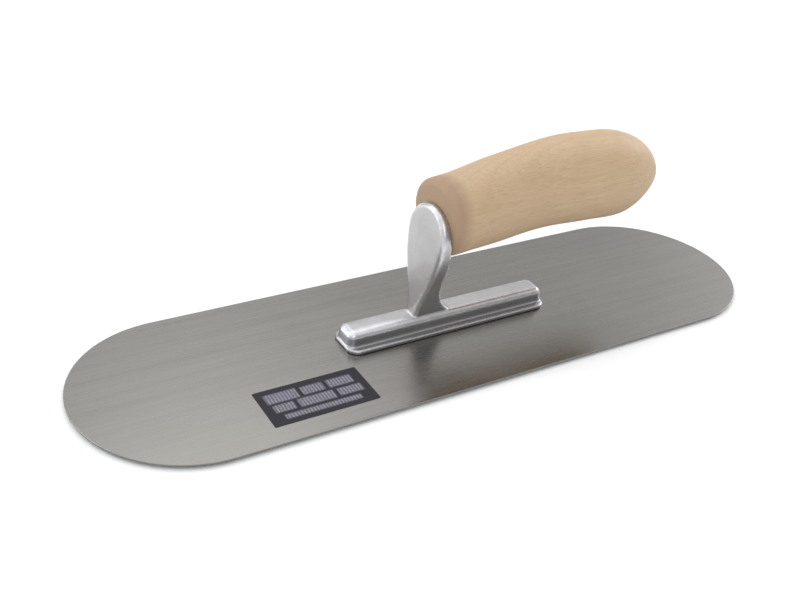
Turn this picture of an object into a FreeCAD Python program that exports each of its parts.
"""Round-end steel finishing trowel (pool trowel) with a short cast mounting and a wooden camelback handle.

Row frame, millimetres: the origin is the middle of the blade's working face, +Z is up, away from the work,
and +X runs along the blade from its toe, below the gooseneck's front, to its heel, below the handle's end.
The handle's own frame has the stud's axis along +X, with the seat of the handle on the pad at 0.
"""

import FreeCAD, Part
import math
import os

from FreeCAD import Placement, Rotation, Vector

# ---------------------------------------------------------------- driving dimensions
# Blade: spring steel plate with full-round ends.
BLADE_LENGTH = 355.6
BLADE_WIDTH = 101.6
BLADE_THICKNESS = 0.7

# Mounting: one aluminium casting of foot, rib, gooseneck, pad and tang.
BAR_LENGTH = 111.0
FOOT_WIDTH = 20.5
FOOT_THICKNESS = 2.0
FOOT_CORNER_ROUND = 6.0
FOOT_EDGE_ROUND = 0.7
RIB_BASE_WIDTH = 13.2
RIB_TOP_WIDTH = 12.2
RIB_HEIGHT = 6.8
RIB_CORNER_ROUND = 3.2
RIB_EDGE_ROUND = 3.0
NECK_BASE_WIDTH = 8.6
NECK_THICKNESS = 9.2
NECK_FRONT_LEAN = 4.6
NECK_LOWER_LEAN = 1.4
NECK_PAD_LEAN = 3.4
NECK_HEEL_FLARE = 13.0
NECK_HEEL_HOLLOW = 9.1
NECK_HEEL_RISE = 3.2
NECK_LOWER_FLARE = 12.0
NECK_UPPER_FLARE = 18.0
NECK_WAIST_BELOW_SEAT = 11.0
NECK_SINK = 1.0
PAD_WIDTH = 29.0
PAD_ABOVE_STUD = 8.3
PAD_TOP_THICKNESS = 3.2
PAD_BELOW_CENTRE = 13.8
PAD_FRONT_ROUND = 2.2
NECK_BACK_ROUND = 1.2
TANG_WIDTH = 15.0
TANG_HEIGHT = 12.0
TANG_LENGTH = 18.0
TANG_TIP_WIDTH = 13.0
TANG_TIP_HEIGHT = 10.4

# Handle: turned and sanded hardwood, bored for a stud along its own straight axis.
SEAT_X = -11.6
STUD_HEIGHT = 56.5
HANDLE_TILT = 4.0
HANDLE_LENGTH = 122.2
HANDLE_FRONT_WIDTH = 39.0
HANDLE_FRONT_HEIGHT = 34.4
HANDLE_WAIST_AT = 40.0
HANDLE_WAIST_WIDTH = 33.5
HANDLE_WAIST_HEIGHT = 39.0
HANDLE_PALM_AT = 80.0
HANDLE_PALM_WIDTH = 35.0
HANDLE_PALM_HEIGHT = 43.0
HANDLE_FRONT_RISE = 1.4
HANDLE_CREST_AT = 58.0
HANDLE_CREST_RISE = 4.9
HANDLE_END_ROUND = 26.0
HANDLE_SQUARENESS = 2.35
HANDLE_FRONT_EASE = 3.0
GRIP_STATIONS = 9
END_STATIONS = 6
SECTION_POINTS = 24
SOCKET_CLEARANCE = 0.15
SOCKET_END_CLEARANCE = 0.5
BORE_CLEARANCE = 0.35

# Stud, washers and nut at the handle's end.
STUD_DIAMETER = 6.35
STUD_FROM_SEAT = 2.0
STUD_PAST_NUT = 1.6
STUD_INSIDE_END = 2.1
STUD_END_CHAMFER = 0.6
TAPPED_HOLE_SPARE = 1.5
NUT_ACROSS_FLATS = 11.1
NUT_THICKNESS = 5.6
NUT_CORNER_CHAMFER = 0.7
WASHER_DIAMETER = 15.9
WASHER_CLEARANCE = 0.375
WASHER_THICKNESS = 1.6
LOCK_WASHER_DIAMETER = 12.4
LOCK_WASHER_CLEARANCE = 0.125
LOCK_WASHER_THICKNESS = 1.6
LOCK_WASHER_GAP = 1.0
RECESS_CLEARANCE = 0.4
RECESS_MOUTH_EASE = 0.8
RECESS_RIM = 1.2

# Rivets from the working face into blind holes in the rib.
RIVET_COUNT = 6
RIVET_FROM_BAR_END = 10.0
RIVET_DIAMETER = 4.0
RIVET_HEAD_DIAMETER = 5.6
RIVET_HEAD_HEIGHT = 0.45
RIVET_COVER = 3.0

# Printed foil label on the blade's upper face.
LABEL_LENGTH = 49.0
LABEL_WIDTH = 24.0
LABEL_THICKNESS = 0.1
LABEL_FROM_TOE = 71.0
LABEL_FROM_EDGE = 10.0
LABEL_CORNER = 0.8

# ---------------------------------------------------------------- sizes that follow from them
EMBED = 1.0                      # how far a cutter or a fused piece reaches past the face it meets
FOOT_TOP = BLADE_THICKNESS + FOOT_THICKNESS
RIB_TOP = FOOT_TOP + RIB_HEIGHT
NECK_BASE = RIB_TOP - NECK_SINK
STUD_RADIUS = STUD_DIAMETER / 2
PAD_RADIUS = PAD_WIDTH / 2
PAD_TOP = STUD_HEIGHT + PAD_ABOVE_STUD
PAD_CENTRE = PAD_TOP - PAD_RADIUS
RECESS_RADIUS = WASHER_DIAMETER / 2 + RECESS_CLEARANCE
END_FACE_WIDTH = 2 * (RECESS_RADIUS + RECESS_MOUTH_EASE + RECESS_RIM)
STUD_END = HANDLE_LENGTH - STUD_INSIDE_END
NUT_END = STUD_END - STUD_PAST_NUT
NUT_SEAT = NUT_END - NUT_THICKNESS
LOCK_WASHER_SEAT = NUT_SEAT - LOCK_WASHER_THICKNESS
RECESS_FLOOR = LOCK_WASHER_SEAT - WASHER_THICKNESS
RIVET_PITCH = (BAR_LENGTH - 2 * RIVET_FROM_BAR_END) / (RIVET_COUNT - 1)
RIVET_END = RIB_TOP - RIVET_COVER


# ---------------------------------------------------------------- shared helpers
def placed(shape):
    """A copy of a shape made in the handle's own frame, where it sits on the trowel."""
    moved = shape.copy()
    moved.Placement = Placement(Vector(SEAT_X, 0, STUD_HEIGHT), Rotation(Vector(0, 1, 0), -HANDLE_TILT))
    return moved


def seat_x(z):
    """Where the seat plane, square to the stud, stands at height z."""
    return SEAT_X - (z - STUD_HEIGHT) * math.tan(math.radians(HANDLE_TILT))


def line(start, end):
    return Part.LineSegment(start, end).toShape()


def bezier(*poles):
    curve = Part.BezierCurve()
    curve.setPoles(list(poles))
    return curve.toShape()


def rod(radius, start, end):
    """A cylinder along +X."""
    return Part.makeCylinder(radius, end - start, Vector(start, 0, 0), Vector(1, 0, 0))


def ring(diameter, clearance, start, end):
    """A washer's plain body round the stud."""
    return rod(diameter / 2, start, end).cut(rod(STUD_RADIUS + clearance, start - EMBED, end + EMBED))


def obround(length, width, z):
    """Closed wire of a strip with full-round ends, lying at height z."""
    radius = width / 2
    reach = length / 2 - radius
    toe_near = Vector(-reach, -radius, z)
    heel_near = Vector(reach, -radius, z)
    heel_far = Vector(reach, radius, z)
    toe_far = Vector(-reach, radius, z)
    return Part.Wire([
        line(toe_near, heel_near),
        Part.Arc(heel_near, Vector(reach + radius, 0, z), heel_far).toShape(),
        line(heel_far, toe_far),
        Part.Arc(toe_far, Vector(-reach - radius, 0, z), toe_near).toShape(),
    ])


def rectangle(length, width, z):
    """Closed wire of a rectangle about the Z axis, lying at height z."""
    x, y = length / 2, width / 2
    return Part.makePolygon([Vector(*p, z) for p in ((-x, -y), (x, -y), (x, y), (-x, y), (-x, -y))])


def bar_block(length, width, corner, low, high, draft=0.0):
    """A square-ended block with rounded corners. Each side leans in by draft on its way up."""
    base = rectangle(length, width, low)
    top = rectangle(length - 2 * draft, width - 2 * draft, high)
    block = Part.makeLoft([base, top], True, True)
    upright = [e for e in block.Edges if e.BoundBox.ZLength > (high - low) / 2]
    return block.makeFillet(corner, upright)


def edges_at(shape, z):
    """The edges of a shape that lie wholly at height z."""
    return [e for e in shape.Edges if abs(e.BoundBox.ZMin - z) < 1e-4 and abs(e.BoundBox.ZMax - z) < 1e-4]


def nearest_face(shape, point):
    probe = Part.Vertex(point)
    return min(shape.Faces, key=lambda face: face.distToShape(probe)[0])


# ---------------------------------------------------------------- blade, rivets and label
def rivet_places():
    first = -RIVET_PITCH * (RIVET_COUNT - 1) / 2
    return [first + RIVET_PITCH * i for i in range(RIVET_COUNT)]


def rivet(x):
    """A countersunk rivet, flush with the working face."""
    head = Part.makeCone(RIVET_HEAD_DIAMETER / 2, RIVET_DIAMETER / 2, RIVET_HEAD_HEIGHT, Vector(x, 0, 0))
    shank = Part.makeCylinder(RIVET_DIAMETER / 2, RIVET_END, Vector(x, 0, 0))
    return head.fuse(shank).removeSplitter()


def make_blade():
    plate = Part.Face(obround(BLADE_LENGTH, BLADE_WIDTH, 0)).extrude(Vector(0, 0, BLADE_THICKNESS))
    return plate.cut([rivet(x) for x in rivet_places()])


def make_rivets():
    return Part.makeCompound([rivet(x) for x in rivet_places()])


def make_label():
    corner = Vector(LABEL_FROM_TOE - BLADE_LENGTH / 2, LABEL_FROM_EDGE - BLADE_WIDTH / 2, BLADE_THICKNESS)
    sheet = Part.makeBox(LABEL_LENGTH, LABEL_WIDTH, LABEL_THICKNESS, corner)
    upright = [e for e in sheet.Edges if e.BoundBox.ZLength > LABEL_THICKNESS / 2]
    return sheet.makeFillet(LABEL_CORNER, upright)


# ---------------------------------------------------------------- mounting
def make_bar():
    """Foot and rib: two square-ended blocks, the rib drafted and well rounded along its top."""
    foot = bar_block(BAR_LENGTH, FOOT_WIDTH, FOOT_CORNER_ROUND, BLADE_THICKNESS, FOOT_TOP)
    foot = foot.makeFillet(FOOT_EDGE_ROUND, edges_at(foot, FOOT_TOP))
    rib_length = BAR_LENGTH - 2 * FOOT_EDGE_ROUND
    draft = (RIB_BASE_WIDTH - RIB_TOP_WIDTH) / 2
    rib = bar_block(rib_length, RIB_BASE_WIDTH, RIB_CORNER_ROUND, FOOT_TOP, RIB_TOP, draft)
    rib = rib.makeFillet(RIB_EDGE_ROUND, edges_at(rib, RIB_TOP))
    return foot.fuse(rib)


def neck_front_outline():
    """The gooseneck seen from the toe: narrow at the rib, flaring smoothly into a round-topped pad."""
    half = NECK_BASE_WIDTH / 2

    def flare(side):
        return bezier(
            Vector(0, side * half, NECK_BASE),
            Vector(0, side * half, NECK_BASE + NECK_LOWER_FLARE),
            Vector(0, side * PAD_RADIUS, PAD_CENTRE - NECK_UPPER_FLARE),
            Vector(0, side * PAD_RADIUS, PAD_CENTRE),
        )

    near = Vector(0, -PAD_RADIUS, PAD_CENTRE)
    far = Vector(0, PAD_RADIUS, PAD_CENTRE)
    top = Part.Arc(near, Vector(0, 0, PAD_TOP), far).toShape()
    sole = line(Vector(0, -half, NECK_BASE), Vector(0, half, NECK_BASE))
    return Part.Wire(Part.sortEdges([sole, flare(-1), top, flare(1)])[0])


def neck_side_outline():
    """The gooseneck seen from its side: flared towards the heel at its foot, with the seat behind the pad."""
    top = PAD_TOP + EMBED
    seat_low = PAD_CENTRE - PAD_BELOW_CENTRE
    front_top = seat_x(top) - PAD_TOP_THICKNESS
    front_low = front_top - NECK_FRONT_LEAN
    back_low = front_low + NECK_THICKNESS
    toe_foot = Vector(front_low, 0, NECK_BASE)
    heel_foot = Vector(back_low + NECK_HEEL_FLARE, 0, NECK_BASE)
    seat_foot = Vector(seat_x(seat_low), 0, seat_low)
    seat_top = Vector(seat_x(top), 0, top)
    pad_top = Vector(front_top, 0, top)
    front = bezier(
        toe_foot,
        Vector(front_low + NECK_LOWER_LEAN, 0, NECK_BASE + NECK_LOWER_FLARE),
        Vector(front_low + NECK_PAD_LEAN, 0, PAD_CENTRE),
        pad_top,
    )
    back = bezier(
        heel_foot,
        Vector(back_low + NECK_HEEL_FLARE - NECK_HEEL_HOLLOW, 0, NECK_BASE + NECK_HEEL_RISE),
        Vector(back_low, 0, seat_low - NECK_WAIST_BELOW_SEAT),
        seat_foot,
    )
    edges = [line(toe_foot, heel_foot), back, line(seat_foot, seat_top), line(seat_top, pad_top), front]
    return Part.Wire(Part.sortEdges(edges)[0])


def make_gooseneck():
    """What the outline seen from the toe and the one seen from the side have in common, with soft edges."""
    seen_from_toe = Part.Face(neck_front_outline())
    seen_from_toe.translate(Vector(-BAR_LENGTH / 2, 0, 0))
    seen_from_side = Part.Face(neck_side_outline())
    seen_from_side.translate(Vector(0, -PAD_WIDTH, 0))
    lengthwise = seen_from_toe.extrude(Vector(BAR_LENGTH, 0, 0))
    neck = lengthwise.common(seen_from_side.extrude(Vector(0, 2 * PAD_WIDTH, 0)))
    front = nearest_face(neck, Vector(-BLADE_LENGTH, 0, PAD_CENTRE))
    neck = neck.makeFillet(PAD_FRONT_ROUND, [e for e in front.Edges if e.BoundBox.ZMax > RIB_TOP])
    back = nearest_face(neck, Vector(SEAT_X + NECK_HEEL_FLARE, 0, NECK_BASE + NECK_HEEL_FLARE))
    return neck.makeFillet(NECK_BACK_ROUND, [e for e in back.Edges if e.BoundBox.ZLength > NECK_LOWER_FLARE])


def tang_oval(x, width, height):
    """Closed oval wire square to the stud, in the handle's own frame."""
    edge = Part.Ellipse(Vector(0, 0, 0), width / 2, height / 2).toShape()
    edge.rotate(Vector(0, 0, 0), Vector(1, 1, 1), 120)
    edge.translate(Vector(x, 0, 0))
    return Part.Wire([edge])


def make_tang(clearance=0.0, end_clearance=0.0):
    """Tapered oval stub behind the pad, in the handle's own frame. It stops the handle turning."""
    grow = 2 * clearance
    taper = (TANG_WIDTH - TANG_TIP_WIDTH) / TANG_LENGTH
    fall = (TANG_HEIGHT - TANG_TIP_HEIGHT) / TANG_LENGTH
    start = -EMBED
    end = TANG_LENGTH + end_clearance
    return Part.makeLoft([
        tang_oval(start, TANG_WIDTH - taper * start + grow, TANG_HEIGHT - fall * start + grow),
        tang_oval(end, TANG_WIDTH - taper * end + grow, TANG_HEIGHT - fall * end + grow),
    ], True, True)


def make_mounting():
    casting = make_bar().fuse([make_gooseneck(), placed(make_tang())]).removeSplitter()
    tapped_hole = rod(STUD_RADIUS, STUD_FROM_SEAT - TAPPED_HOLE_SPARE, TANG_LENGTH + EMBED)
    return casting.cut([rivet(x) for x in rivet_places()] + [placed(tapped_hole)])


# ---------------------------------------------------------------- handle
def eased(start, end, share):
    """A value that goes from start to end with level ends, as share goes from 0 to 1."""
    share = min(max(share, 0.0), 1.0)
    return start + (end - start) * share * share * (3 - 2 * share)


def waisted(front, waist, palm, x):
    """A width or height along the handle: from its front to the waist, and on to the palm swell."""
    if x < HANDLE_WAIST_AT:
        return eased(front, waist, x / HANDLE_WAIST_AT)
    return eased(waist, palm, (x - HANDLE_WAIST_AT) / (HANDLE_PALM_AT - HANDLE_WAIST_AT))


def end_rounded(size, x):
    """A width or height near the handle's end, where a quarter ellipse brings it down to the end face."""
    share = max(0.0, (x - HANDLE_LENGTH + HANDLE_END_ROUND) / HANDLE_END_ROUND)
    left = END_FACE_WIDTH / size
    return size * math.sqrt(1 - (1 - left * left) * share * share)


def rise(x):
    """How far the middle of the handle's section stands above the stud's axis."""
    if x < HANDLE_CREST_AT:
        return eased(HANDLE_FRONT_RISE, HANDLE_CREST_RISE, x / HANDLE_CREST_AT)
    return eased(HANDLE_CREST_RISE, 0.0, (x - HANDLE_CREST_AT) / (HANDLE_LENGTH - HANDLE_CREST_AT))


def squareness(x):
    """Exponent of the section's oval: 2 is an ellipse, at both ends, and more is squarer, along the palm."""
    if x < HANDLE_WAIST_AT:
        return eased(2.0, HANDLE_SQUARENESS, x / HANDLE_WAIST_AT)
    return eased(HANDLE_SQUARENESS, 2.0, (x - HANDLE_LENGTH + HANDLE_END_ROUND) / HANDLE_END_ROUND)


def handle_section(x):
    """Closed wire of the handle's section: a softly squared oval that turns round at the end face."""
    half_width = end_rounded(waisted(HANDLE_FRONT_WIDTH, HANDLE_WAIST_WIDTH, HANDLE_PALM_WIDTH, x), x) / 2
    half_height = end_rounded(waisted(HANDLE_FRONT_HEIGHT, HANDLE_WAIST_HEIGHT, HANDLE_PALM_HEIGHT, x), x) / 2
    power = 2 / squareness(x)
    points = []
    for i in range(SECTION_POINTS):
        angle = 2 * math.pi * i / SECTION_POINTS
        across = math.copysign(abs(math.cos(angle)) ** power, math.cos(angle))
        up = math.copysign(abs(math.sin(angle)) ** power, math.sin(angle))
        points.append(Vector(x, half_width * across, rise(x) + half_height * up))
    curve = Part.BSplineCurve()
    curve.interpolate(Points=points, PeriodicFlag=True)
    return Part.Wire([curve.toShape()])


def handle_stations():
    """Even steps along the grip, closing up over the rounded end."""
    straight = HANDLE_LENGTH - HANDLE_END_ROUND
    grip = [straight * i / GRIP_STATIONS for i in range(GRIP_STATIONS)]
    quarter = math.pi / 2
    turn = [straight + HANDLE_END_ROUND * math.sin(quarter * i / END_STATIONS) for i in range(END_STATIONS + 1)]
    return grip + turn


def make_handle():
    body = Part.makeLoft([handle_section(x) for x in handle_stations()], True, False)
    front = nearest_face(body, Vector(-BLADE_LENGTH, 0, 0))
    body = body.makeFillet(HANDLE_FRONT_EASE, front.Edges)
    recess = rod(RECESS_RADIUS, RECESS_FLOOR, HANDLE_LENGTH + EMBED)
    mouth_depth = RECESS_MOUTH_EASE + EMBED
    mouth = Part.makeCone(RECESS_RADIUS, RECESS_RADIUS + mouth_depth, mouth_depth,
                          Vector(HANDLE_LENGTH - RECESS_MOUTH_EASE, 0, 0), Vector(1, 0, 0))
    bore = rod(STUD_RADIUS + BORE_CLEARANCE, 0, HANDLE_LENGTH)
    socket = make_tang(SOCKET_CLEARANCE, SOCKET_END_CLEARANCE)
    return placed(body.cut([recess, mouth, bore, socket]))


# ---------------------------------------------------------------- stud, washers and nut
def make_stud():
    stud = rod(STUD_RADIUS, STUD_FROM_SEAT, STUD_END)
    ends = [e for e in stud.Edges if e.BoundBox.XLength < STUD_RADIUS]
    return placed(stud.makeChamfer(STUD_END_CHAMFER, ends))


def make_flat_washer():
    return placed(ring(WASHER_DIAMETER, WASHER_CLEARANCE, RECESS_FLOOR, LOCK_WASHER_SEAT))


def make_lock_washer():
    """A spring washer, cut through at its top and pressed flat by the nut."""
    whole = ring(LOCK_WASHER_DIAMETER, LOCK_WASHER_CLEARANCE, LOCK_WASHER_SEAT, NUT_SEAT)
    gap = Part.makeBox(LOCK_WASHER_THICKNESS + 2 * EMBED, LOCK_WASHER_GAP, LOCK_WASHER_DIAMETER,
                       Vector(LOCK_WASHER_SEAT - EMBED, -LOCK_WASHER_GAP / 2, 0))
    return placed(whole.cut(gap))


def nut_cone(tip, direction):
    """A cone with its small end at the nut's face, whose flank trims the hexagon's corners."""
    small = (NUT_ACROSS_FLATS - NUT_CORNER_CHAMFER) / 2
    return Part.makeCone(small, small + NUT_ACROSS_FLATS, NUT_ACROSS_FLATS / 2, Vector(tip, 0, 0), direction)


def make_hex_nut():
    to_corner = NUT_ACROSS_FLATS / 2 / math.cos(math.pi / 6)
    corners = []
    for i in range(7):
        angle = math.pi / 3 * i
        corners.append(Vector(NUT_SEAT, to_corner * math.cos(angle), to_corner * math.sin(angle)))
    blank = Part.Face(Part.makePolygon(corners)).extrude(Vector(NUT_THICKNESS, 0, 0))
    nut = blank.common(nut_cone(NUT_SEAT, Vector(1, 0, 0))).common(nut_cone(NUT_END, Vector(-1, 0, 0)))
    return placed(nut.cut(rod(STUD_RADIUS, NUT_SEAT - EMBED, NUT_END + EMBED)))


def main():
    os.makedirs("parts", exist_ok=True)
    nodes = {
        "blade": make_blade(),
        "blade_rivets": make_rivets(),
        "mounting": make_mounting(),
        "handle": make_handle(),
        "handle_stud": make_stud(),
        "flat_washer": make_flat_washer(),
        "lock_washer": make_lock_washer(),
        "hex_nut": make_hex_nut(),
        "label": make_label(),
    }
    for name, shape in nodes.items():
        shape.exportStep(f"parts/{name}.step")
        box = shape.BoundBox
        print(f"{name:14s} valid {shape.isValid()}, solids {len(shape.Solids)}, volume {shape.Volume:8.0f} mm3,",
              f"{box.XLength:.1f} x {box.YLength:.1f} x {box.ZLength:.1f} mm")


if __name__ == "__main__":
    main()
